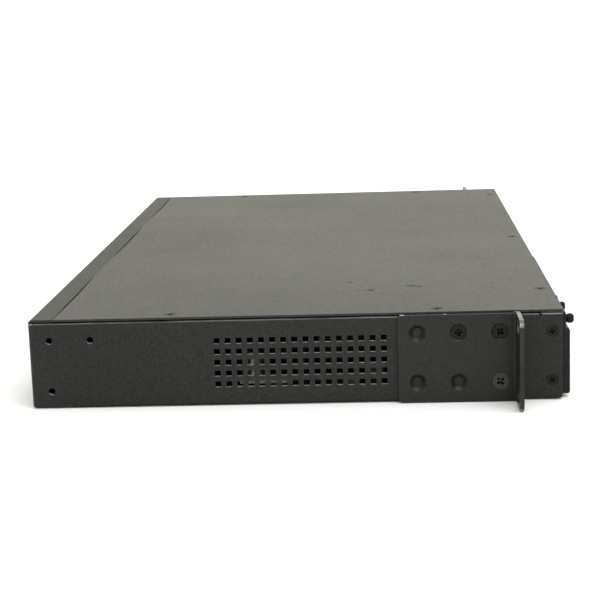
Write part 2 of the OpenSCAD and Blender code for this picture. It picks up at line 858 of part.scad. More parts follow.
// Flat sled with upturned sides and card posts, running back from the face
module sled(bay, depth, posts) {
    x0 = bay[0] + run_gap;
    x1 = bay[1] - run_gap;
    z0 = bay[2] + run_gap;
    box(x0, front_y - eps, z0, x1, from_front(depth), z0 + sled_t);
    for (x = [x0, x1 - sled_t]) box(x, front_y - eps, z0, x + sled_t, from_front(depth),
        z0 + sled_side);
    for (x = [x0 + 4.5, x1 - 4.5], y = posts) translate([x, from_front(y), z0 + sled_t - eps])
        cylinder(card_z - z0 - sled_t + eps, r = 2.4);
}

// Left and right guide rails for one bay
module rails(bay, depth) {
    for (side = [0, 1]) translate([bay[side], 0, 0]) mirror([side, 0, 0]) {
        box(-1.3, from_front(return_d + 1), sheet_t, -0.5, from_front(depth), 26);
        box(-1.3, from_front(return_d + 1), bay[2] - 1, 4, from_front(depth), bay[2]);
    }
}

// Card with an edge tongue at its rear end
module card(bay, y0, depth) {
    x0 = bay[0] + 2;
    x1 = bay[1] - 2;
    xm = (x0 + x1) / 2;
    tongue = (x1 - x0) * 0.62;
    box(x0, from_front(y0), card_z, x1, from_front(depth), card_z + card_t);
    box(xm - tongue / 2, from_front(depth) - eps, card_z, xm + tongue / 2,
        from_front(depth + card_tongue), card_z + card_t);
}

// Thumbscrew pointing out of the front, with its seat at z = 0
module thumbscrew(proud) {
    knob_l = proud - face_t - run_gap;
    dome_r = knob_d * 0.63;
    difference() {
        union() {
            intersection() {
                translate([0, 0, run_gap]) cylinder(knob_l, r = knob_d / 2);
                translate([0, 0, run_gap + knob_l - dome_r]) sphere(dome_r);
            }
            translate([0, 0, -face_t - panel_t - boss_l])
                cylinder(face_t + panel_t + boss_l + run_gap + eps, r = thumb_r);
        }
        translate([0, 0, proud - face_t]) cross_recess(2.6, 1);
    }
}

module storage_tray() {
    color(module_coat) difference() {
        union() {
            box(storage_x0, from_front(-face_t), face_z0, storage_x1, front_y, face_z1);
            sled(storage_bay, storage_d, [14, 66]);
        }
        for (x = storage_knob_x) translate([x, from_front(1), thumb_z]) facing_front()
            cylinder(face_t + 2, r = thumb_hole_r);
    }
}

// Raised block with a rounded top edge and a row of slots
module storage_face() {
    y0 = from_front(-face_t - block_t);
    color(module_coat) difference() {
        intersection() {
            box(storage_x0 + 0.3, y0, face_z0 - 0.2, storage_x1 - 0.3, from_front(-face_t), block_z1);
            translate([storage_x0, 0, 0]) rotate([90, 0, 90]) linear_extrude(60)
                rounded_rect(y0, face_z0 - 0.2, front_y + 10, block_z1, 1.2);
        }
        for (i = [0:4]) box(storage_x0 + 7, y0 - 1, 8 + i * 4.4, storage_x1 - 7, y0 + 1.4,
            9.6 + i * 4.4);
    }
}

module storage_board() {
    color(board_green) card(storage_bay, 8, storage_d + 2);
}

module storage_drive() {
    xm = (storage_bay[0] + storage_bay[1]) / 2;
    color(chip_black) {
        box(xm - 11, from_front(14), card_z + card_t + 2, xm + 11, from_front(73), card_z + card_t + 2.8);
        box(xm - 11, from_front(66), card_z + card_t, xm + 11, from_front(74), card_z + card_t + 2 + eps);
        for (y = [18, 35, 50]) box(xm - 8, from_front(y), card_z + card_t + 2.8 - eps,
            xm + 8, from_front(y + 12), card_z + card_t + 4);
    }
}

module storage_screw(x, proud) {
    color(black_zinc) translate([x, from_front(-face_t), thumb_z]) facing_front()
        thumbscrew(proud);
}

module storage_screw_outer() {
    storage_screw(storage_knob_x[0], storage_knob);
}

module storage_screw_inner() {
    storage_screw(storage_knob_x[1], inner_knob);
}

module storage_rails() {
    color(coat) rails(storage_bay, storage_d + 1);
}

module module_carrier() {
    color(module_coat) difference() {
        union() {
            box(module_x0, from_front(-face_t), face_z0, module_x1, front_y, face_z1);
            sled(module_bay, module_d, [14, 60, 106]);
        }
        for (k = module_knob_at) translate([k[0], from_front(1), k[1]]) facing_front()
            cylinder(face_t + 2, r = thumb_hole_r);
        box(module_cage_x - 0.3, from_front(-face_t - 1), card_z + card_t - 0.3,
            module_cage_x + 4 * cage_w + 0.3, from_front(1), card_z + card_t + cage_h + 0.3);
        for (i = [0:7]) translate([module_cage_x + (i + 0.5) * cage_w / 2, from_front(1), 26])
            facing_front() cylinder(face_t + 2, r = 1);
    }
}

module module_board() {
    color(board_green) card(module_bay, 2, module_d + 2);
    color(chip_black) box(module_cage_x + 18, from_front(62), card_z + card_t - eps,
        module_cage_x + 40, from_front(84), card_z + card_t + 3);
}

module module_cages() {
    color(shield_steel) translate([module_cage_x, from_front(-face_t), card_z + card_t]) cage_row(4);
}

module module_screw(k) {
    color(black_zinc) translate([k[0], from_front(-face_t), k[1]]) facing_front()
        thumbscrew(module_knob);
}

module module_screw_upper() {
    module_screw(module_knob_at[0]);
}

module module_screw_lower() {
    module_screw(module_knob_at[1]);
}

module module_rails() {
    color(coat) rails(module_bay, module_d + 4);
}

// Receptacle that a card's tongue slides into
module card_socket(bay, depth) {
    x0 = bay[0] + 2;
    x1 = bay[1] - 2;
    xm = (x0 + x1) / 2;
    half = (x1 - x0) * 0.31;
    y0 = from_front(depth) + run_gap;
    difference() {
        box(xm - half - 3, y0, board_top, xm + half + 3, y0 + 8, card_z + card_t + 3);
        box(xm - half - run_gap, y0 - 1, card_z - run_gap, xm + half + run_gap,
            y0 + card_tongue, card_z + card_t + run_gap);
    }
}

module bay_connectors() {
    color(black_plastic) {
        card_socket(storage_bay, wing_y - front_y);
        card_socket(module_bay, step_y - front_y);
    }
}

// ---- Power supply ----

module psu_case() {
    y0 = from_front(psu_y[0]);
    y1 = from_front(psu_y[1]);
    color(shield_steel) difference() {
        box(psu_x0, y0, sheet_t, psu_x1, y1, psu_h);
        box(psu_x0 + psu_t, y0 - 1, sheet_t + psu_t, psu_x1 - psu_t, y1 + 1, psu_h + 1);
        translate([psu_x0 - 1, y0 + 10, 30]) rotate([90, 0, 90]) linear_extrude(80)
            vent_grid(20, 3);
        translate([psu_x0 - 1, from_front(harness_y), harness_z]) facing_right()
            cylinder(4, r = harness_r + 1.2);
    }
}

module psu_board() {
    color([0.62, 0.5, 0.26]) box(psu_x0 + 3, from_front(psu_y[0] + 3), 6, psu_x1 - 3,
        from_front(psu_y[1] - 3), psu_top);
    color(zinc) for (x = [psu_x0 + 8, psu_x1 - 8], y = [psu_y[0] + 9, psu_y[1] - 9])
        translate([x, from_front(y), sheet_t + psu_t]) cylinder(6 - sheet_t - psu_t + eps, r = 2.5);
}

module psu_components() {
    z0 = psu_top;
    color([0.75, 0.62, 0.2]) box(165, from_front(110), z0, 197, from_front(140), z0 + 26);
    color(chip_black) {
        translate([180, from_front(176), z0]) cylinder(27, r = 15);
        for (x = [158, 169, 180]) translate([x, from_front(76), z0]) cylinder(22, r = 5);
    }
    color(bare_alu) for (x = [153, 204]) {
        box(x, from_front(84), z0, x + 3, from_front(156), z0 + 27);
        for (y = [84:8:148]) box(x - 1.5, from_front(y), z0 + 14, x + 4.5, from_front(y + 2), z0 + 27);
    }
}

// Ring of points around p, square to the direction t, in a route whose plane has the normal m
function cable_ring(p, t, m, r) =
    [for (k = [0:cable_sides - 1]) let (a = 360 * k / cable_sides)
        p + r * cos(a) * m + r * sin(a) * cross(t, m)];

// Round cable swept along a route that stays in one plane
module cable(route, m, r) {
    last = len(route) - 1;
    n = cable_sides;
    rings = [for (i = [0:last]) let (d = route[min(i + 1, last)] - route[max(i - 1, 0)])
        cable_ring(route[i], d / norm(d), m, r)];
    polyhedron(
        points = [for (ring = rings, p = ring) p],
        faces = concat(
            [[for (k = [0:n - 1]) k]],
            [for (i = [0:last - 1], k = [0:n - 1]) let (j = (k + 1) % n)
                [i * n + k, (i + 1) * n + k, (i + 1) * n + j, i * n + j]],
            [[for (k = [n - 1:-1:0]) last * n + k]]
        )
    );
}

// Quarter bend of radius r in a vertical plane, from straight up to level, as [along, up]
function bend_up(r) = [for (a = [0:18:90]) [r * (1 - cos(a)), r * sin(a)]];

// Harness from the board up, across into the supply and down again
module supply_harness() {
    y = from_front(harness_y);
    rise = bend_up(harness_bend);
    up = [for (p = rise) [harness_x[0] + p[0], y, harness_z - harness_bend + p[1]]];
    down = [for (i = [len(rise) - 1:-1:0])
        [harness_x[1] - rise[i][0], y, harness_z - harness_bend + rise[i][1]]];
    route = concat([[harness_x[0], y, board_top + plug_h]], up, down, [[harness_x[1], y, psu_top]]);
    cable(route, [0, 1, 0], harness_r);
    box(harness_x[0] - 5, y - 6, board_top, harness_x[0] + 5, y + 6, board_top + plug_h);
}

// Lead from a fan header on the board into the front face of the fan
module fan_lead(x) {
    y = from_front(header_y);
    route = concat([[x, y, board_top + 5]],
        [for (p = bend_up(lead_bend)) [x, y + p[0], lead_z - lead_bend + p[1]]],
        [[x, from_rear(sheet_t + fan_d), lead_z]]);
    cable(route, [-1, 0, 0], lead_r);
    box(x - 4, y - 2, board_top, x + 4, y + 2, board_top + 5);
}

module wiring() {
    color(black_plastic) {
        supply_harness();
        for (x = fan_x) fan_lead(x + lead_in);
    }
}

// ---- Rear wall parts ----

// Inlet cavity outline with two cut corners
module inlet_outline(w, h) {
    polygon([[-w / 2, -h / 2], [w / 2, -h / 2], [w / 2, h / 2 - 4], [w / 2 - 4, h / 2],
        [-w / 2 + 4, h / 2], [-w / 2, h / 2 - 4]]);
}

module ac_inlet() {
    translate([inlet_x, rear_y, inlet_z]) {
        color(black_plastic) difference() {
            union() {
                translate([0, 1.6, 0]) facing_front() linear_extrude(1.6)
                    rounded_rect(-15.6, -11.8, 15.6, 11.8, 1.5);
                box(-13.5, -inlet_d - 4, -9.8, 13.5, eps, 9.8);
            }
            translate([0, 2.6, 0]) facing_front() linear_extrude(inlet_d + 2.6)
                inlet_outline(inlet_open[0], inlet_open[1]);
        }
        color(zinc) for (p = [[-7, -2], [0, 3], [7, -2]])
            box(p[0] - 1, -inlet_d - eps, p[1] - 2, p[0] + 1, -1, p[1] + 2);
    }
}

module rocker_housing() {
    w = rocker_open[0];
    h = rocker_open[1];
    color(black_plastic) translate([rocker_x, rear_y, rocker_z]) difference() {
        union() {
            translate([0, 1.2, 0]) facing_front() linear_extrude(1.2)
                rounded_rect(-w / 2 - 1.8, -h / 2 - 1.8, w / 2 + 1.8, h / 2 + 1.8, 1.2);
            box(-w / 2 - 0.6, -16, -h / 2 - 0.6, w / 2 + 0.6, eps, h / 2 + 0.6);
        }
        box(-w / 2 + 0.6, -12, -h / 2 + 0.6, w / 2 - 0.6, 3, h / 2 - 0.6);
        translate([-w / 2 - 0.2, -pivot_in, 0]) facing_right() cylinder(w + 0.4, r = pivot_hole_r);
    }
}

// Paddle with two sloping faces, centred on its pivot
module power_rocker() {
    w = rocker_open[0] - 2;
    h = rocker_open[1] - 2.8;
    color(black_plastic) translate([rocker_x, rear_y - pivot_in, rocker_z])
        rotate([rock_angle / 2, 0, 0]) {
            translate([-w / 2, 0, 0]) rotate([90, 0, 90]) linear_extrude(w)
                polygon([[-5, -3], [0, -h / 2], [3, -h / 2], [2.2, 0], [3, h / 2], [0, h / 2],
                    [-5, 3]]);
            translate([-w / 2 - 0.9, 0, 0]) facing_right() cylinder(w + 1.8, r = pivot_r);
        }
}

module fan_frame(x) {
    color(black_plastic) translate([x, from_rear(sheet_t), fan_z]) difference() {
        union() {
            difference() {
                facing_front() linear_extrude(fan_d)
                    rounded_rect(-fan_size / 2, -fan_size / 2, fan_size / 2, fan_size / 2, 2.5);
                translate([0, 1, 0]) facing_front() cylinder(fan_d + 2, r = fan_bore_r);
            }
            facing_front() cylinder(3, r = fan_hub_r);
            for (a = [45, 135, 225, 315]) rotate([0, a, 0])
                box(0, -2.5, -1, fan_bore_r + 0.6, 0, 1);
        }
        translate([0, 1, 0]) facing_front() cylinder(6, r = shaft_hole_r);
        for (dx = [-1, 1], dz = [-1, 1])
            translate([dx * fan_screw_pitch / 2, 1, dz * fan_screw_pitch / 2]) facing_front()
                cylinder(fan_d + 2, r = 1.7);
    }
}

module fan_rotor(x) {
    color(black_plastic) translate([x, from_rear(sheet_t), fan_z]) {
        translate([0, -0.6, 0]) facing_front() cylinder(4, r = shaft_r);
        translate([0, -3.4, 0]) facing_front() cylinder(fan_d - 5.4, r = fan_hub_r);
        intersection() {
            translate([0, -4, 0]) facing_front() cylinder(fan_d - 7, r = rotor_r);
            for (i = [0:blades - 1]) rotate([0, i * 360 / blades, 0])
                translate([fan_hub_r - 1, -fan_d / 2, 0]) rotate([32, 0, 0])
                    translate([0, -fan_d / 2, -0.6]) cube([rotor_r, fan_d, 1.2]);
        }
    }
}

module fan_frame_left() {
    fan_frame(fan_x[0]);
}

module fan_frame_middle() {
    fan_frame(fan_x[1]);
}

module fan_frame_right() {
    fan_frame(fan_x[2]);
}

module fan_rotor_left() {
    fan_rotor(fan_x[0]);
}

module fan_rotor_middle() {
    fan_rotor(fan_x[1]);
}

module fan_rotor_right() {
    fan_rotor(fan_x[2]);
}

module fan_screws() {
    color(black_zinc) for (x = fan_x, dx = [-1, 1], dz = [-1, 1])
        translate([x + dx * fan_screw_pitch / 2, rear_y, fan_z + dz * fan_screw_pitch / 2])
            facing_rear() pan_screw(6, 1.8, 1.65, 9);
}

module ground_screw() {
    color(zinc) translate([ground_at[0], rear_y, ground_at[1]]) facing_rear()
        pan_screw(8, ground_h, 1.65, 5);
}

base_tray();
top_cover();
front_panel();
port_plate();
ear_left();
ear_right();
ear_screws();
cover_screws();
panel_screws();
main_board();
board_standoffs();
board_screws();
processor();
cpu_heatsink();
network_chip();
network_heatsink();
memory_sockets();
memory_modules();
cell_holder();
coin_cell();
capacitors();
inductors();
aux_header();
port_block();
management_ports();
console_port();
usb_ports();
sfp_cages();
light_pipes();
reset_switch();
reset_button();
storage_tray();
storage_face();
storage_board();
storage_drive();
storage_screw_outer();
storage_screw_inner();
storage_rails();
module_carrier();
module_board();
module_cages();
module_screw_upper();
module_screw_lower();
module_rails();
bay_connectors();
psu_case();
psu_board();
psu_components();
wiring();
ac_inlet();
rocker_housing();
power_rocker();
fan_frame_left();
fan_frame_middle();
fan_frame_right();
fan_rotor_left();
fan_rotor_middle();
fan_rotor_right();
fan_screws();
ground_screw();
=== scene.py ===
"""Looks for the rack-mount firewall appliance: materials, fine detail, light and camera."""
import json
import math

import bmesh
import bpy
from mathutils import Euler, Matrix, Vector


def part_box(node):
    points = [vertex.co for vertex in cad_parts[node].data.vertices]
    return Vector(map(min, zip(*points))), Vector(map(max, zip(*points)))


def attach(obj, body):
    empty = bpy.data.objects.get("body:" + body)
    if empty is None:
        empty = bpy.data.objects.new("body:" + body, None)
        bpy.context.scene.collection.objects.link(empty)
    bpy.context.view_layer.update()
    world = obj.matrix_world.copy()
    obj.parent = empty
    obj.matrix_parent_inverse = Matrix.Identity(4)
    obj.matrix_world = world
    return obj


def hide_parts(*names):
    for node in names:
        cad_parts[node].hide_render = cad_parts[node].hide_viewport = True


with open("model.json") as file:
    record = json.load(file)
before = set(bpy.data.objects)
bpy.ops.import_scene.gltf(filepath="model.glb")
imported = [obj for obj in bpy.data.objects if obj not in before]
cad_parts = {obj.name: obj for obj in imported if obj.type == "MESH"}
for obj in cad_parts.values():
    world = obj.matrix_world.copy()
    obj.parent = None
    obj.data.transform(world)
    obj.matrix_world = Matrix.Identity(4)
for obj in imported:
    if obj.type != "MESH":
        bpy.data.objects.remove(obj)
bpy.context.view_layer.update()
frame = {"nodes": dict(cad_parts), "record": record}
NODES = frame["nodes"]
SLOT_OF = {s["node"]: s["material_slot"] for s in frame["record"]["subparts"]}

MM = 0.001
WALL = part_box("base_tray")[1].x
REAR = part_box("base_tray")[1].y
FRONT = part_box("front_panel")[0].y
COVER_THICK = 1 * MM
COVER_GAP = 0.9 * MM
WALL_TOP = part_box("top_cover")[1].z - COVER_THICK - COVER_GAP


# ---- Shader nodes ----

def new_material(name):
    mat = bpy.data.materials.new(name)
    mat.use_nodes = True
    tree = mat.node_tree
    tree.nodes.clear()
    out = tree.nodes.new("ShaderNodeOutputMaterial")
    shader = tree.nodes.new("ShaderNodeBsdfPrincipled")
    tree.links.new(shader.outputs["BSDF"], out.inputs["Surface"])
    return mat, tree, shader


def node(tree, kind, **settings):
    made = tree.nodes.new("ShaderNode" + kind)
    for key, value in settings.items():
        setattr(made, key, value)
    return made


def plug(tree, source, target):
    tree.links.new(source, target)


def noise(tree, scale, detail=2.0, rough=0.5, stretch=None):
    """Noise over the object's own space, in features per metre."""
    coords = node(tree, "TexCoord")
    made = node(tree, "TexNoise")
    made.inputs["Scale"].default_value = scale
    made.inputs["Detail"].default_value = detail
    made.inputs["Roughness"].default_value = rough
    source = coords.outputs["Object"]
    if stretch:
        mapping = node(tree, "Mapping")
        mapping.inputs["Scale"].default_value = stretch
        plug(tree, source, mapping.inputs["Vector"])
        source = mapping.outputs["Vector"]
    plug(tree, source, made.inputs["Vector"])
    return made.outputs["Fac"]


def ramp(tree, source, stops):
    """Colour ramp from (position, grey or rgb) stops."""
    made = node(tree, "ValToRGB")
    elements = made.color_ramp.elements
    while len(elements) < len(stops):
        elements.new(0.5)
    for element, (at, value) in zip(elements, stops):
        element.position = at
        rgb = value if isinstance(value, (tuple, list)) else (value, value, value)
        element.color = (*rgb, 1)
    plug(tree, source, made.inputs["Fac"])
    return made.outputs["Color"]


def mix(tree, fac, a, b, blend="MIX"):
    made = node(tree, "Mix", data_type="RGBA", blend_type=blend)
    for socket, value in ((made.inputs["Factor"], fac), (made.inputs["A"], a), (made.inputs["B"], b)):
        if isinstance(value, bpy.types.NodeSocket):
            plug(tree, value, socket)
        elif isinstance(value, (tuple, list)):
            socket.default_value = (*value, 1)
        else:
            socket.default_value = value
    return made.outputs["Result"]


def math_node(tree, operation, a, b=0.0, clamp=False):
    made = node(tree, "Math", operation=operation, use_clamp=clamp)
    for socket, value in zip(made.inputs, (a, b)):
        if isinstance(value, bpy.types.NodeSocket):
            plug(tree, value, socket)
        else:
            socket.default_value = value
    return made.outputs["Value"]


def edge_mask(tree, radius, low=0.004, high=0.09):
    """Light along sharp edges, from how far a rounded normal leans away from the true one."""
    bevel = node(tree, "Bevel", samples=4)
    bevel.inputs["Radius"].default_value = radius
    geometry = node(tree, "NewGeometry")
    dot = node(tree, "VectorMath", operation="DOT_PRODUCT")
    plug(tree, bevel.outputs["Normal"], dot.inputs[0])
    plug(tree, geometry.outputs["Normal"], dot.inputs[1])
    lean = math_node(tree, "SUBTRACT", 1.0, dot.outputs["Value"])
    return ramp(tree, lean, [(low, 0.0), (high, 1.0)])


def bump(tree, shader, height, strength, distance, radius=0.0):
    """Bump from a height, over edges rounded by radius."""
    made = node(tree, "Bump")
    made.inputs["Strength"].default_value = strength
    made.inputs["Distance"].default_value = distance
    plug(tree, height, made.inputs["Height"])
    if radius:
        rounded = node(tree, "Bevel", samples=4)
        rounded.inputs["Radius"].default_value = radius
        plug(tree, rounded.outputs["Normal"], made.inputs["Normal"])
    plug(tree, made.outputs["Normal"], shader.inputs["Normal"])


# ---- Masks ----

def spot(tree, at, radius, soft=0.6):
    """One at a place on the object, falling to nothing at radius."""
    coords = node(tree, "TexCoord")
    away = node(tree, "VectorMath", operation="DISTANCE")
    plug(tree, coords.outputs["Object"], away.inputs[0])
    away.inputs[1].default_value = at
    share = math_node(tree, "DIVIDE", away.outputs["Value"], radius)
    return ramp(tree, share, [(soft, 1.0), (1.0, 0.0)])


def band(tree, axis, low, high, mirrored=False):
    """One where a coordinate, or its size on both sides, lies between two values."""
    coords = node(tree, "TexCoord")
    parts = node(tree, "SeparateXYZ")
    plug(tree, coords.outputs["Object"], parts.inputs["Vector"])
    value = parts.outputs[axis]
    if mirrored:
        value = math_node(tree, "ABSOLUTE", value)
    above = math_node(tree, "GREATER_THAN", value, low)
    below = math_node(tree, "LESS_THAN", value, high)
    return math_node(tree, "MULTIPLY", above, below)


def facing(tree, axis, least):
    """One where the surface's normal leans along an axis, either way, by at least a share."""
    geometry = node(tree, "NewGeometry")
    parts = node(tree, "SeparateXYZ")
    plug(tree, geometry.outputs["Normal"], parts.inputs["Vector"])
    return math_node(tree, "GREATER_THAN", math_node(tree, "ABSOLUTE", parts.outputs[axis]), least)


def inverse(tree, value):
    """One minus a mask."""
    return math_node(tree, "SUBTRACT", 1.0, value)


def all_of(tree, *masks):
    """Masks multiplied together."""
    value = masks[0]
    for other in masks[1:]:
        value = math_node(tree, "MULTIPLY", value, other)
    return value


def crevice(tree, reach, low, high):
    """One in the open, less in holes and corners, from how much of the surroundings is hidden; it
    places painted shade.
    """
    hidden = node(tree, "AmbientOcclusion", samples=8)
    hidden.inputs["Distance"].default_value = reach
    return ramp(tree, hidden.outputs["AO"], [(low, 0.0), (high, 1.0)])


def side_wall_highlights(tree):
    """Painted highlights in the side wall's punched holes, on their level walls where the light from
    above falls, and along its folded top.
    """
    skin = band(tree, "X", WALL - 1.3 * MM, WALL - 0.03 * MM, mirrored=True)
    # painted highlight: the level walls of the holes, whose lower rims catch the light from above
    holes = all_of(tree, skin, facing(tree, "Z", 0.5),
                   band(tree, "Z", 6 * MM, 36 * MM), band(tree, "Y", -60 * MM, 200 * MM))
    patchy = ramp(tree, noise(tree, 60, detail=3), [(0.3, 0.35), (0.6, 1.0)])
    # painted highlight along the rounded fold at the wall's top, broken up by noise
    fold = all_of(tree, band(tree, "Z", WALL_TOP - 0.5 * MM, WALL_TOP + 0.02 * MM),
                  band(tree, "X", WALL - 1.4 * MM, WALL + 1 * MM, mirrored=True), patchy)
    return [(holes, PAINTED_EDGE_HIGHLIGHT), (fold, FOLD_HIGHLIGHT)]


def ear_bare_and_glints(tree):
    """Bare metal on the ear flange's edges, bare metal with painted glints in its slots and at its
    tips, and painted glints at nicks along the plate's top, with a faint painted highlight all along
    that top.
    """
    low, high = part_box("ear_left")
    flange = band(tree, "X", WALL + 2.4 * MM, WALL + 30 * MM, mirrored=True)
    patchy = ramp(tree, noise(tree, 120, detail=4), [(0.4, 0.0), (0.66, 1.0)])
    speckled = ramp(tree, noise(tree, 500, detail=3), [(0.4, 0.25), (0.6, 1.0)])
    cut_faces = inverse(tree, facing(tree, "Y", 0.6))
    # bare metal with a painted glint on the slot walls
    slots = all_of(tree, flange, cut_faces, patchy, band(tree, "Z", low.z + 8 * MM, high.z),
                   band(tree, "X", WALL + 3 * MM, WALL + 22.7 * MM, mirrored=True))
    edge = all_of(tree, flange, facing(tree, "X", 0.6), patchy)
    # bare metal with a painted highlight on the flange's top and bottom tips
    tips = all_of(tree, flange, cut_faces, speckled,
                  inverse(tree, band(tree, "Z", low.z + 1.2 * MM, high.z - 3.2 * MM)))
    # painted highlight along the plate's top, faint all along and strong at two nicks
    plate_top = all_of(tree, band(tree, "X", WALL - 1 * MM, WALL + 2.3 * MM, mirrored=True),
                       band(tree, "Z", high.z - 0.9 * MM, high.z + 1 * MM))
    nicks_and_glints = 0.1
    for along, radius in ((1.5, 2.6), (22.2, 1.5)):
        nick_glint = spot(tree, (-WALL - 1 * MM, high.y - along * MM, high.z), radius * MM, 0.3)
        nicks_and_glints = math_node(tree, "MAXIMUM", nicks_and_glints, nick_glint)
    return [(edge, FLANGE_EDGE), (slots, BARE_EDGE_AND_GLINT), (tips, BARE_EDGE_AND_GLINT),
            (all_of(tree, plate_top, nicks_and_glints), PAINTED_EDGE_HIGHLIGHT)]


def lit_lower_ear_screws(tree):
    """One on the lower screws of the ears, which stand outside the case's walls; these are painted
    lighter than the upper ones, as painted light.
    """
    outside = band(tree, "X", WALL + 0.1 * MM, WALL + 30 * MM, mirrored=True)
    return all_of(tree, outside, band(tree, "Z", 0, 20 * MM))


# ---- Materials ----

def powder_coat(name, shade, wear_and_light, rough, gloss, marks=(), bare_and_highlights=None):
    """Fine-textured powder coat, rubbed lighter along its edges, with painted shade darkening its
    hollows.

    Marks are dull scuffs as (place, radius, depth). The last argument gives (mask, colour) pairs for
    bare metal and for painted highlights and glints.
    """
    mat, tree, shader = new_material(name)
    blotch = noise(tree, 11, detail=5)
    grain = noise(tree, 1100, detail=3, rough=0.75)
    dark = tuple(c * 0.85 for c in shade)
    light = tuple(c * 1.15 for c in shade)
    colour = ramp(tree, blotch, [(0.3, dark), (0.7, light)])
    speck = ramp(tree, grain, [(0.32, 0.35), (0.68, 1.6)])
    colour = mix(tree, 1.0, colour, speck, "MULTIPLY")
    scuffed = 0.0
    for at, radius, depth in marks:
        mark = math_node(tree, "MULTIPLY", spot(tree, at, radius, 0.2), depth)
        scuffed = math_node(tree, "MAXIMUM", scuffed, mark)
    edges = edge_mask(tree, 0.45 * MM)
    breakup = ramp(tree, noise(tree, 170, detail=4), [(0.44, 0.0), (0.62, 1.0)])
    rub = mix(tree, 1.0, edges, breakup, "MULTIPLY")
    colour = mix(tree, rub, colour, wear_and_light)
    # painted shade: the coat is darkened in holes and corners
    colour = mix(tree, crevice(tree, 1.5 * MM, 0.1, 0.75), tuple(c * 0.25 for c in shade), colour)
    # bare metal, painted highlights and painted glints from the given masks
    for mask, tone in bare_and_highlights(tree) if bare_and_highlights else ():
        colour = mix(tree, mask, colour, tone)
    plug(tree, colour, shader.inputs["Base Color"])
    uneven = mix(tree, 0.5, grain, mix(tree, 0.5, noise(tree, 420, detail=4), blotch))
    roughness = ramp(tree, uneven, [(0.35, rough - 0.08), (0.65, rough + 0.1)])
    plug(tree, mix(tree, scuffed, roughness, (0.8, 0.8, 0.8)), shader.inputs["Roughness"])
    shine = mix(tree, scuffed, (gloss,) * 3, (gloss * 0.35,) * 3)
    plug(tree, shine, shader.inputs["Specular IOR Level"])
    bump(tree, shader, grain, 0.5, 0.05 * MM, radius=0.25 * MM)
    return mat


def metal(name, shade, rough, grain_stretch=(60, 60, 2500), grain=0.12, hollow_shade=0.0, wear_and_light=None):
    """Plated or drawn metal with a fine directional grain and uneven gloss.

    Hollows within a given reach are painted darker, as painted shade. A mask function and the tone it
    brings paint some parts lighter, as painted light.
    """
    mat, tree, shader = new_material(name)
    lines = noise(tree, 1, detail=3, stretch=grain_stretch)
    patch = noise(tree, 90, detail=3)
    dark = tuple(c * 0.75 for c in shade)
    colour = ramp(tree, patch, [(0.3, dark), (0.7, shade)])
    # painted light: the masked parts are lightened
    if wear_and_light:
        mask, tone = wear_and_light
        colour = mix(tree, mask(tree), colour, tone)
    # painted shade: hollows within the reach are darkened
    if hollow_shade:
        colour = mix(tree, crevice(tree, hollow_shade, 0.35, 0.85), tuple(c * 0.06 for c in shade), colour)
    plug(tree, colour, shader.inputs["Base Color"])
    shader.inputs["Metallic"].default_value = 1.0
    plug(tree, ramp(tree, lines, [(0.3, rough * 0.8), (0.7, rough * 1.25)]), shader.inputs["Roughness"])
    bump(tree, shader, lines, grain, 0.03 * MM, radius=0.12 * MM)
    return mat


def plastic(name, shade, rough, texture=900, strength=0.1, base=None):
    """Moulded plastic with a fine spark-eroded texture, painted near black below a base height as
    painted shade.
    """
    mat, tree, shader = new_material(name)
    fine = noise(tree, texture, detail=2)
    dark = tuple(c * 0.85 for c in shade)
    colour = ramp(tree, noise(tree, 40), [(0.3, dark), (0.7, shade)])
    # painted shade: near black below the base height
    if base:
        colour = mix(tree, band(tree, "Z", 0, base), colour, (0.01, 0.01, 0.01))
    plug(tree, colour, shader.inputs["Base Color"])
    plug(tree, ramp(tree, fine, [(0.2, rough - 0.06), (0.8, rough + 0.08)]), shader.inputs["Roughness"])
    bump(tree, shader, fine, strength, 0.03 * MM, radius=0.15 * MM)
    return mat


def circuit(name, mask, copper):
    """Solder mask over copper: faint tracks and lands under a glossy film."""
    mat, tree, shader = new_material(name)
    coords = node(tree, "TexCoord")
    tracks = node(tree, "TexBrick", offset=0.37, offset_frequency=3)
    tracks.inputs["Scale"].default_value = 260
    tracks.inputs["Mortar Size"].default_value = 0.05
    tracks.inputs["Color1"].default_value = (0, 0, 0, 1)
    tracks.inputs["Color2"].default_value = (0.25, 0.25, 0.25, 1)
    tracks.inputs["Mortar"].default_value = (1, 1, 1, 1)
    plug(tree, coords.outputs["Object"], tracks.inputs["Vector"])
    vias = node(tree, "TexVoronoi")
    vias.inputs["Scale"].default_value = 230
    plug(tree, coords.outputs["Object"], vias.inputs["Vector"])
    lands = ramp(tree, vias.outputs["Distance"], [(0.10, 1.0), (0.14, 0.0)])
    under = mix(tree, tracks.outputs["Color"], mask, tuple(c * 1.7 for c in mask))
    colour = mix(tree, lands, under, copper)
    plug(tree, colour, shader.inputs["Base Color"])
    shader.inputs["Roughness"].default_value = 0.32
    bump(tree, shader, tracks.outputs["Color"], 0.2, 0.03 * MM)
    return mat


def light_guide(name):
    """Clear acrylic light pipe, a little cloudy inside."""
    mat, tree, shader = new_material(name)
    cloud = noise(tree, 300, detail=2)
    plug(tree, ramp(tree, cloud, [(0.3, (0.75, 0.82, 0.8)), (0.7, (0.9, 0.94, 0.92))]),
         shader.inputs["Base Color"])
    shader.inputs["Roughness"].default_value = 0.18
    shader.inputs["Transmission Weight"].default_value = 0.75
    shader.inputs["IOR"].default_value = 1.49
    return mat


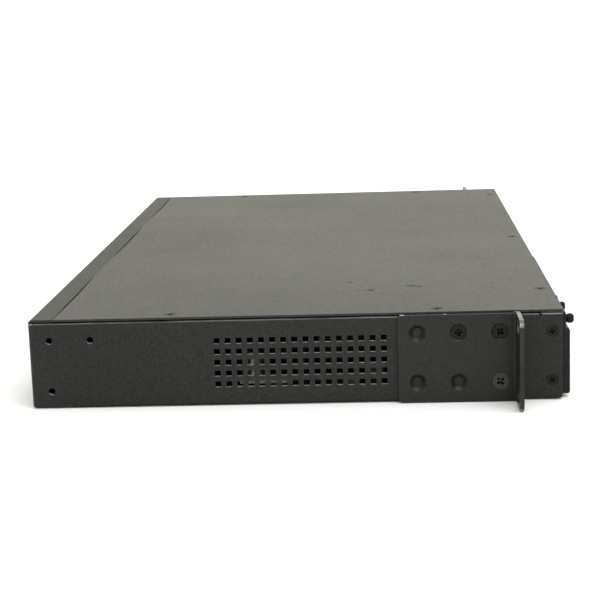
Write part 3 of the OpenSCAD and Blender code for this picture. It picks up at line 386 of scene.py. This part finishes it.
def lens(name, tint):
    """Tinted lamp window, glossy and slightly see-through."""
    mat, tree, shader = new_material(name)
    cloud = noise(tree, 700, detail=2)
    dark = tuple(c * 0.7 for c in tint)
    plug(tree, ramp(tree, cloud, [(0.3, dark), (0.7, tint)]), shader.inputs["Base Color"])
    shader.inputs["Roughness"].default_value = 0.22
    shader.inputs["Transmission Weight"].default_value = 0.35
    return mat


def cover_marks():
    """Small dull scuffs on the cover, as (place, radius, depth), placed from its near rear corner."""
    low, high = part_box("top_cover")
    rows = [
        (153, 79, 1.8, 0.8), (158, 56, 1.6, 0.4), (161, 56, 1.6, 0.5), (164, 56, 2.2, 1.0),
        (182, 66, 1.8, 0.3), (185, 65, 3.2, 0.5), (188.5, 63, 2.4, 0.6), (52, 102, 1.6, 0.4),
    ]
    return [((low.x + across * MM, REAR - back * MM, high.z), radius * MM, depth)
            for back, across, radius, depth in rows]


COAT = (0.0105, 0.0105, 0.0103)
CHASSIS_COAT = (0.0135, 0.0132, 0.0128)
WORN = (0.035, 0.035, 0.033)
# Painted highlights: the first on hole walls and nicks, the second along the side wall's fold.
PAINTED_EDGE_HIGHLIGHT = (0.42, 0.42, 0.4)
FOLD_HIGHLIGHT = (0.21, 0.225, 0.23)
FLANGE_EDGE = (0.022, 0.022, 0.02)
# Bare metal with a painted glint, in the ear flange's slots and at its tips.
BARE_EDGE_AND_GLINT = (0.3, 0.29, 0.26)
MATERIALS = {
    "chassis_coat": powder_coat("chassis_coat", CHASSIS_COAT, WORN, 0.4, 0.21, bare_and_highlights=side_wall_highlights),
    "cover_coat": powder_coat("cover_coat", COAT, (0.06, 0.059, 0.055), 0.36, 0.34, cover_marks()),
    "module_coat": powder_coat("module_coat", (0.006, 0.006, 0.0057), (0.05, 0.048, 0.044), 0.45, 0.2),
    # painted shade in the screws' recesses, and the lower ear screws painted lighter as light on them
    "black_screws": metal("black_screws", (0.022, 0.022, 0.022), 0.4, hollow_shade=1.6 * MM,
                          wear_and_light=(lit_lower_ear_screws, (0.05, 0.05, 0.048))),
    "bare_screws": metal("bare_screws", (0.58, 0.57, 0.54), 0.3),
    "shield_steel": metal("shield_steel", (0.62, 0.63, 0.64), 0.28, (40, 900, 40)),
    "bare_aluminium": metal("bare_aluminium", (0.72, 0.73, 0.74), 0.36, (30, 30, 1200)),
    "circuit_board": circuit("circuit_board", (0.006, 0.035, 0.02), (0.5, 0.38, 0.15)),
    "supply_board": circuit("supply_board", (0.25, 0.16, 0.06), (0.5, 0.45, 0.4)),
    "chip_package": plastic("chip_package", (0.016, 0.016, 0.018), 0.55, 1400, 0.2),
    "black_plastic": plastic("black_plastic", (0.014, 0.014, 0.014), 0.42),
    # the header's lower part is painted near black as shade
    "ivory_plastic": plastic("ivory_plastic", (0.95, 0.94, 0.86), 0.4,
                             base=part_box("aux_header")[0].z + 0.7 * MM),
    "clear_plastic": light_guide("clear_plastic"),
    "cable_jacket": plastic("cable_jacket", (0.012, 0.012, 0.013), 0.35, 500, 0.05),
}
EAR_COAT = powder_coat("ear_coat", COAT, (0.022, 0.022, 0.02), 0.38, 0.26, bare_and_highlights=ear_bare_and_glints)
GOLD = metal("contact_gold", (0.78, 0.56, 0.22), 0.25, (300, 900, 300), 0.05)
GREEN_LENS = lens("green_lens", (0.1, 0.34, 0.08))
AMBER_LENS = lens("amber_lens", (0.5, 0.27, 0.04))

for name, obj in NODES.items():
    coat = EAR_COAT if name in ("ear_left", "ear_right") else MATERIALS[SLOT_OF[name]]
    obj.data.materials.clear()
    obj.data.materials.append(coat)


# ---- Building pieces ----

def piece(name, made, material, body):
    """Turns a bmesh into a piece that rides on a body."""
    bmesh.ops.recalc_face_normals(made, faces=made.faces)
    mesh = bpy.data.meshes.new(name)
    made.to_mesh(mesh)
    made.free()
    mesh.materials.append(material)
    obj = bpy.data.objects.new(name, mesh)
    bpy.context.scene.collection.objects.link(obj)
    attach(obj, body)
    return obj


def shade_smooth(obj, angle=35):
    """Smooth faces that meet at less than an angle."""
    for face in obj.data.polygons:
        face.use_smooth = True
    obj.data.set_sharp_from_angle(angle=math.radians(angle))


def rings(made, loops):
    """Joins loops of points, each as long as the last, with quads. Returns the loops' vertices."""
    made_loops = [[made.verts.new(point) for point in loop] for loop in loops]
    count = len(made_loops[0])
    for first, second in zip(made_loops, made_loops[1:]):
        for i in range(count):
            j = (i + 1) % count
            made.faces.new((first[i], first[j], second[j], second[i]))
    return made_loops


def tube(made, loops):
    """Closed solid through loops of points, capped at both ends."""
    made_loops = rings(made, loops)
    made.faces.new(made_loops[0])
    made.faces.new(list(reversed(made_loops[-1])))


def strip(made, path, wide, thick):
    """Bent strip along a path; wide is a vector across it."""
    across = Vector(wide) / 2
    loops = []
    for i, point in enumerate(path):
        ahead = Vector(path[min(i + 1, len(path) - 1)]) - Vector(path[max(i - 1, 0)])
        lift = ahead.cross(across).normalized() * thick / 2
        at = Vector(point)
        loops.append([at - across - lift, at + across - lift, at + across + lift, at - across + lift])
    tube(made, loops)


def soft_box(made, low, high, edge):
    """Box with cut edges along Y and a cut front rim."""
    def outline(inset, y):
        x0, z0 = low[0] + inset, low[2] + inset
        x1, z1 = high[0] - inset, high[2] - inset
        return [(x0 + edge, y, z0), (x1 - edge, y, z0), (x1, y, z0 + edge), (x1, y, z1 - edge),
                (x1 - edge, y, z1), (x0 + edge, y, z1), (x0, y, z1 - edge), (x0, y, z0 + edge)]
    tube(made, [outline(edge / 2, low[1]), outline(0, low[1] + edge / 2), outline(0, high[1])])


# ---- Thumbscrews ----

def ridged_loop(x, y, z, radius, depth=0.0, ridges=26, steps=4):
    """Circle around Y with straight ridges of a given depth."""
    count = ridges * steps
    loop = []
    for i in range(count):
        turn = 2 * math.pi * i / count
        r = radius - depth * (1 if i % steps in (0, 1) else 0)
        loop.append((x + r * math.cos(turn), y, z + r * math.sin(turn)))
    return loop


def cut(obj, cutter):
    """Cuts a closed mesh out of a piece and keeps the result as its mesh."""
    tool = bpy.data.objects.new("cutter", cutter)
    bpy.context.scene.collection.objects.link(tool)
    change = obj.modifiers.new("cut", "BOOLEAN")
    change.object = tool
    change.solver = "EXACT"
    graph = bpy.context.evaluated_depsgraph_get()
    result = bpy.data.meshes.new_from_object(obj.evaluated_get(graph))
    obj.modifiers.clear()
    obj.data = result
    bpy.data.objects.remove(tool)


def slot_cutter(x, y, z, length, width, depth):
    """Closed block for a screwdriver slot in a face that looks along -Y."""
    made = bmesh.new()
    low = (x - length / 2, y - depth, z - width / 2)
    high = (x + length / 2, y + depth, z + width / 2)
    soft_box(made, low, high, 0.05 * MM)
    bmesh.ops.recalc_face_normals(made, faces=made.faces)
    mesh = bpy.data.meshes.new("slot_cutter")
    made.to_mesh(mesh)
    made.free()
    return mesh


def thumbscrew(name, body, face):
    """Captive thumbscrew with a straight-knurled knob, a domed end and a slot."""
    low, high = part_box(name)
    x, z = (low.x + high.x) / 2, (low.z + high.z) / 2
    radius = (high.x - low.x) / 2
    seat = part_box(face)[0].y - 0.3 * MM
    shank = 1.5 * MM
    knurl = 0.16 * MM
    tip, rim = low.y, low.y + 1.1 * MM
    made = bmesh.new()
    loops = [ridged_loop(x, tip, z, radius * 0.42), ridged_loop(x, tip + 0.12 * MM, z, radius * 0.64),
             ridged_loop(x, tip + 0.42 * MM, z, radius * 0.84), ridged_loop(x, rim, z, radius * 0.97),
             ridged_loop(x, rim + 0.12 * MM, z, radius, knurl)]
    if seat - rim > 1.4 * MM:
        groove = seat - 0.9 * MM
        loops += [ridged_loop(x, groove - 0.15 * MM, z, radius, knurl),
                  ridged_loop(x, groove, z, radius * 0.8),
                  ridged_loop(x, groove + 0.3 * MM, z, radius * 0.8),
                  ridged_loop(x, groove + 0.4 * MM, z, radius * 0.96)]
    else:
        loops += [ridged_loop(x, seat - 0.15 * MM, z, radius, knurl)]
    loops += [ridged_loop(x, seat - 0.05 * MM, z, radius * 0.94), ridged_loop(x, seat, z, radius * 0.9),
              ridged_loop(x, seat, z, shank), ridged_loop(x, high.y - 0.3 * MM, z, shank),
              ridged_loop(x, high.y, z, shank * 0.8)]
    tube(made, loops)
    obj = piece(name + "_knurled", made, MATERIALS["black_screws"], body)
    cut(obj, slot_cutter(x, tip, z, 2 * radius * 0.72, 0.55 * MM, 0.7 * MM))
    shade_smooth(obj)
    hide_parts(name)


# ---- Ports ----

JACK_COLUMN = 14 * MM
JACK_ROW = 13 * MM
JACK_BASE = 6.6 * MM
CAVITY = [(-5.95, -3.4), (-3.1, -3.4), (-3.1, -4.4), (-2, -4.4), (-2, -5.2), (2, -5.2), (2, -4.4),
          (3.1, -4.4), (3.1, -3.4), (5.95, -3.4), (5.95, 3.4), (-5.95, 3.4)]


def jacks(name, columns, rows):
    """Centres of the jack openings in a block, as (x, z, up), up being the contacts' side."""
    low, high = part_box(name)
    first = (low.x + high.x) / 2 - (columns - 1) / 2 * JACK_COLUMN
    found = []
    for c in range(columns):
        for r in range(rows):
            up = -1 if rows > 1 and r == 0 else 1
            found.append((first + c * JACK_COLUMN, low.z + JACK_BASE + r * JACK_ROW, up))
    return found


def toward_middle(x, z, inset):
    """Moves a point of the cavity's outline inwards, by the same step on both sides."""
    sx = math.copysign(inset, x)
    sz = math.copysign(inset, z)
    return x - sx, z - sz


def jack_liner(made, x, z, up):
    """Plastic lining of one jack opening, with a shallow bevel at its mouth."""
    def outline(inset, y):
        points = [toward_middle(px, pz, inset) for px, pz in CAVITY]
        return [(x + px * MM, FRONT + y * MM, z + up * pz * MM) for px, pz in points]
    loops = rings(made, [outline(0.02, 12.95), outline(0.02, 0.3), outline(0.3, 0.3),
                         outline(0.55, 0.9), outline(0.55, 12.4)])
    made.faces.new(loops[-1])
    made.faces.new(loops[0])


def jack_contacts(made, x, z, up):
    """Eight sprung wires, from the mouth's contact side down to the back."""
    for i in range(8):
        px = x + (i - 3.5) * 1.02 * MM
        path = [(1.3, 2.6), (2.2, 2.7), (3.2, 2.1), (6.5, 0.2), (8.0, -0.6), (9.0, -0.7), (11.5, 0.4)]
        points = [(px, FRONT + y * MM, z + up * pz * MM) for y, pz in path]
        strip(made, points, (0.42 * MM, 0, 0), 0.16 * MM)


def jack_lens(made, x, z, up, side):
    """Small lamp window beside the jack, on its contacts' side."""
    low_z = z + up * 4.3 * MM
    high_z = z + up * 6.0 * MM
    cx = x + side * 4.3 * MM
    soft_box(made, (cx - 1.25 * MM, FRONT - 0.12 * MM, min(low_z, high_z)),
             (cx + 1.25 * MM, FRONT + 0.2 * MM, max(low_z, high_z)), 0.25 * MM)


def jack_details():
    """Linings, contacts and lamps of every jack, one piece of each kind."""
    places = jacks("port_block", 4, 2) + jacks("management_ports", 1, 2) + jacks("console_port", 1, 1)
    linings, contacts, greens, ambers = (bmesh.new() for _ in range(4))
    for place in places:
        jack_liner(linings, *place)
        jack_contacts(contacts, *place)
        jack_lens(greens, *place, -1)
        jack_lens(ambers, *place, 1)
    piece("jack_linings", linings, MATERIALS["black_plastic"], "chassis")
    piece("jack_contacts", contacts, GOLD, "chassis")
    piece("jack_lamps_green", greens, GREEN_LENS, "chassis")
    piece("jack_lamps_amber", ambers, AMBER_LENS, "chassis")


def usb_details():
    """Plastic tongues with four contacts and the springs of the shell."""
    low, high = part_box("usb_ports")
    tongues, contacts, springs = (bmesh.new() for _ in range(3))
    for base in (1.4, 9.0):
        z0, z1 = low.z + (base + 2.85) * MM, low.z + (base + 4.95) * MM
        soft_box(tongues, (low.x + 1.65 * MM, FRONT + 1.2 * MM, z0),
                 (high.x - 1.65 * MM, FRONT + 13.9 * MM, z1), 0.15 * MM)
        for i in range(4):
            px = low.x + 7.3 * MM + (i - 1.5) * 2.3 * MM
            points = [(px, FRONT + y * MM, z0 - dz * MM) for y, dz in
                      ((2.0, 0.02), (3.0, 0.12), (5.0, 0.2), (8.5, 0.12), (12.5, 0.05))]
            strip(contacts, points, (1.0 * MM, 0, 0), 0.1 * MM)
        for px in (low.x + 4.3 * MM, high.x - 4.3 * MM):
            points = [(px, FRONT + y * MM, low.z + (base + dz) * MM) for y, dz in
                      ((0.3, 0.06), (2.0, 0.3), (4.0, 0.75), (5.2, 0.85), (6.4, 0.5))]
            strip(springs, points, (2.2 * MM, 0, 0), 0.12 * MM)
    piece("usb_tongues", tongues, MATERIALS["black_plastic"], "chassis")
    piece("usb_contacts", contacts, GOLD, "chassis")
    piece("usb_springs", springs, MATERIALS["shield_steel"], "chassis")


def cage_details(name, count, body):
    """Spring fingers at the mouths of a row of cages, and the connectors at their backs."""
    low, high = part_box(name)
    pitch = (high.x - low.x) / count
    fingers, backs, contacts = (bmesh.new() for _ in range(3))
    path = ((0.15, 0.12), (1.2, 0.3), (3.0, 0.62), (4.6, 0.68), (6.0, 0.3))
    for c in range(count):
        x0, x1 = low.x + c * pitch + 0.4 * MM, low.x + (c + 1) * pitch - 0.4 * MM
        z0, z1 = low.z + 0.4 * MM, high.z - 0.4 * MM
        for i in range(6):
            px = x0 + (i + 0.5) * (x1 - x0) / 6
            points = [(px, low.y + y * MM, z1 - dz * MM) for y, dz in path]
            strip(fingers, points, (1.5 * MM, 0, 0), 0.12 * MM)
        for side, edge in ((1, x0), (-1, x1)):
            for i in range(4):
                pz = z0 + (i + 0.5) * (z1 - z0) / 4
                points = [(edge + side * dx * MM, low.y + y * MM, pz) for y, dx in path]
                strip(fingers, points, (0, 0, 1.5 * MM), 0.12 * MM)
        soft_box(backs, (x0 + 1 * MM, low.y + 36 * MM, z0 + 0.6 * MM),
                 (x1 - 1 * MM, low.y + 45 * MM, z1 - 1.5 * MM), 0.3 * MM)
        for i in range(10):
            px = x0 + 2.4 * MM + i * 0.98 * MM
            points = [(px, low.y + y * MM, (z0 + z1) / 2 + dz * MM) for y, dz in
                      ((35.2, -0.3), (35.6, 0.1), (36.4, 0.3))]
            strip(contacts, points, (0.4 * MM, 0, 0), 0.15 * MM)
    piece(name + "_fingers", fingers, MATERIALS["shield_steel"], body)
    piece(name + "_connectors", backs, MATERIALS["black_plastic"], body)
    piece(name + "_contacts", contacts, GOLD, body)


# ---- Fans ----

def blade_section(radius, length, chord_turn, camber, thick, steps=7):
    """Points of a cambered blade section wrapped on a cylinder, as (angle, depth), both faces."""
    upper, lower = [], []
    for i in range(steps):
        t = i / (steps - 1)
        bow = camber * math.sin(math.pi * t)
        half = thick * (0.35 + 0.65 * math.sin(math.pi * min(t * 1.3, 1.0)))
        angle = (t - 0.5) * chord_turn + bow
        depth = (t - 0.5) * length
        upper.append((angle + half / radius, depth))
        lower.append((angle - half / radius, depth))
    return upper + lower[::-1]


def fan_rotor(name, body):
    """Hub with a rounded face and swept, cambered blades."""
    low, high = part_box(name)
    x, z = (low.x + high.x) / 2, (low.z + high.z) / 2
    front, back = low.y, high.y
    hub_back = back - 2.9 * MM
    hub, reach, shaft = 10.5 * MM, 17.9 * MM, 1.5 * MM
    blades, blade_steps, hub_sides = 7, 6, 48

    def around(radius, turn, y):
        return x + radius * math.cos(turn), y, z + radius * math.sin(turn)

    made = bmesh.new()
    profile = [(front, hub - 1.0 * MM), (front + 0.3 * MM, hub - 0.3 * MM), (front + 1.0 * MM, hub),
               (hub_back, hub), (hub_back, shaft), (back, shaft)]
    tube(made, [[around(r, 2 * math.pi * i / hub_sides, y) for i in range(hub_sides)]
                for y, r in profile])
    middle = (front + hub_back) / 2
    root = hub - 0.4 * MM
    for b in range(blades):
        start = 2 * math.pi * b / blades
        loops = []
        for k in range(blade_steps):
            share = k / (blade_steps - 1)
            r = root + share * (reach - root)
            section = blade_section(r, (hub_back - front) * (0.8 - 0.1 * share), 0.62 - 0.12 * share,
                                    0.1, (0.75 - 0.3 * share) * MM)
            sweep = start - 0.12 * share
            loops.append([around(r, sweep + turn, middle + depth) for turn, depth in section])
        tube(made, loops)
    obj = piece(name + "_blades", made, MATERIALS["black_plastic"], body)
    shade_smooth(obj)
    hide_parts(name)


# ---- Cards ----

def leads(made, x0, x1, y, top, reach):
    """Two bent leads, one at each side of a package, down to the card."""
    for side, edge in ((-1, x0), (1, x1)):
        points = [(edge + side * out * MM, y, top + up * reach)
                  for out, up in ((-0.1, 0.9), (0.3, 0.9), (0.45, 0.12), (0.9, 0.12))]
        strip(made, points, (0, 0.45 * MM, 0), 0.13 * MM)


def card_parts(board, top, body, rows):
    """Small chips with leads on a card, as (x, y, width, depth, height) in mm from its corner."""
    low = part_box(board)[0]
    chips, tips = bmesh.new(), bmesh.new()
    for x, y, wide, deep, tall in rows:
        x0, y0 = low.x + x * MM, low.y + y * MM
        x1, y1 = x0 + wide * MM, y0 + deep * MM
        soft_box(chips, (x0, y0, top + 0.05 * MM), (x1, y1, top + tall * MM), 0.12 * MM)
        count = max(1, int(deep / 1.27) - 1)
        for i in range(count):
            leads(tips, x0, x1, y0 + (i + 0.5) * (y1 - y0) / count, top, tall * 0.5 * MM)
    piece(board + "_chips", chips, MATERIALS["chip_package"], body)
    piece(board + "_leads", tips, MATERIALS["bare_screws"], body)


for name, body, face in (
    ("storage_screw_outer", "storage_thumb_outer", "storage_tray"),
    ("storage_screw_inner", "storage_thumb_inner", "storage_tray"),
    ("module_screw_upper", "expansion_thumb_upper", "module_carrier"),
    ("module_screw_lower", "expansion_thumb_lower", "module_carrier"),
):
    thumbscrew(name, body, face)
jack_details()
usb_details()
cage_details("sfp_cages", 2, "chassis")
cage_details("module_cages", 4, "expansion")
for side in ("left", "middle", "right"):
    fan_rotor("fan_rotor_" + side, "fan_" + side)
card_parts("module_board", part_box("module_board")[1].z - 3 * MM, "expansion", [
    (5, 20, 7, 6, 1.4), (5, 40, 7, 8, 1.2), (6, 62, 9, 10, 1.4), (6, 84, 11, 7, 1.2),
    (21, 60, 6, 4, 1.0), (21, 72, 6, 4, 1.0), (24, 90, 8, 6, 1.3), (61, 58, 9, 8, 1.4),
    (61, 72, 6, 5, 1.0), (62, 86, 12, 9, 1.5), (76, 20, 6, 6, 1.2), (76, 40, 6, 5, 1.2),
    (77, 60, 5, 5, 1.0), (40, 92, 13, 6, 1.3),
])


# ---- Floor, light and camera ----

def studio_world(stops, lean, strength):
    """Pale surroundings from (height, rgb) stops, a little darker toward the rear by lean."""
    world = bpy.data.worlds.new("studio")
    bpy.context.scene.world = world
    world.use_nodes = True
    tree = world.node_tree
    coords = node(tree, "TexCoord")
    parts = node(tree, "SeparateXYZ")
    plug(tree, coords.outputs["Generated"], parts.inputs["Vector"])
    background = tree.nodes["Background"]
    tilt = math_node(tree, "SUBTRACT", 1.0, math_node(tree, "MULTIPLY", parts.outputs["Y"], lean))
    sky = ramp(tree, parts.outputs["Z"], stops)
    plug(tree, mix(tree, 1.0, sky, tilt, "MULTIPLY"), background.inputs["Color"])
    background.inputs["Strength"].default_value = strength


def floor():
    """Wide pale floor just under the case."""
    mesh = bpy.data.meshes.new("floor")
    made = bmesh.new()
    bmesh.ops.create_grid(made, x_segments=2, y_segments=2, size=150)
    made.to_mesh(mesh)
    made.free()
    obj = bpy.data.objects.new("floor", mesh)
    obj.location = (0, 0, -0.2 * MM)
    bpy.context.scene.collection.objects.link(obj)
    mat, tree, shader = new_material("floor_paint")
    plug(tree, ramp(tree, noise(tree, 3), [(0.3, 0.86), (0.7, 0.88)]), shader.inputs["Base Color"])
    shader.inputs["Roughness"].default_value = 0.9
    mesh.materials.append(mat)


def area_light(name, at, target, size, power):
    data = bpy.data.lights.new(name, "AREA")
    data.shape = "SQUARE"
    data.size = size
    data.energy = power
    obj = bpy.data.objects.new(name, data)
    obj.location = at
    obj.rotation_euler = (Vector(target) - Vector(at)).to_track_quat("-Z", "Y").to_euler()
    bpy.context.scene.collection.objects.link(obj)


def camera(at, tilt_deg, focal_mm):
    data = bpy.data.cameras.new("camera")
    data.sensor_width = 36
    data.lens = focal_mm
    data.clip_start = 0.01
    obj = bpy.data.objects.new("camera", data)
    obj.location = at
    obj.rotation_euler = Euler([math.radians(a) for a in tilt_deg])
    bpy.context.scene.collection.objects.link(obj)
    bpy.context.scene.camera = obj


SKY = [(0.0, (0.56, 0.565, 0.475)), (0.25, (0.6, 0.605, 0.51)), (0.7, (0.92, 0.92, 0.9)),
       (1.0, (1.0, 1.0, 1.0))]
studio_world(SKY, lean=0.35, strength=1.6)
floor()
area_light("key", at=(-0.9, -0.5, 1.6), target=(0, 0, 0), size=1.2, power=12)
camera(at=(-0.93286, -0.04216, 0.19507), tilt_deg=(78.59, 1.882, -87.175), focal_mm=92.82)
bpy.context.scene.view_settings.view_transform = "Standard"
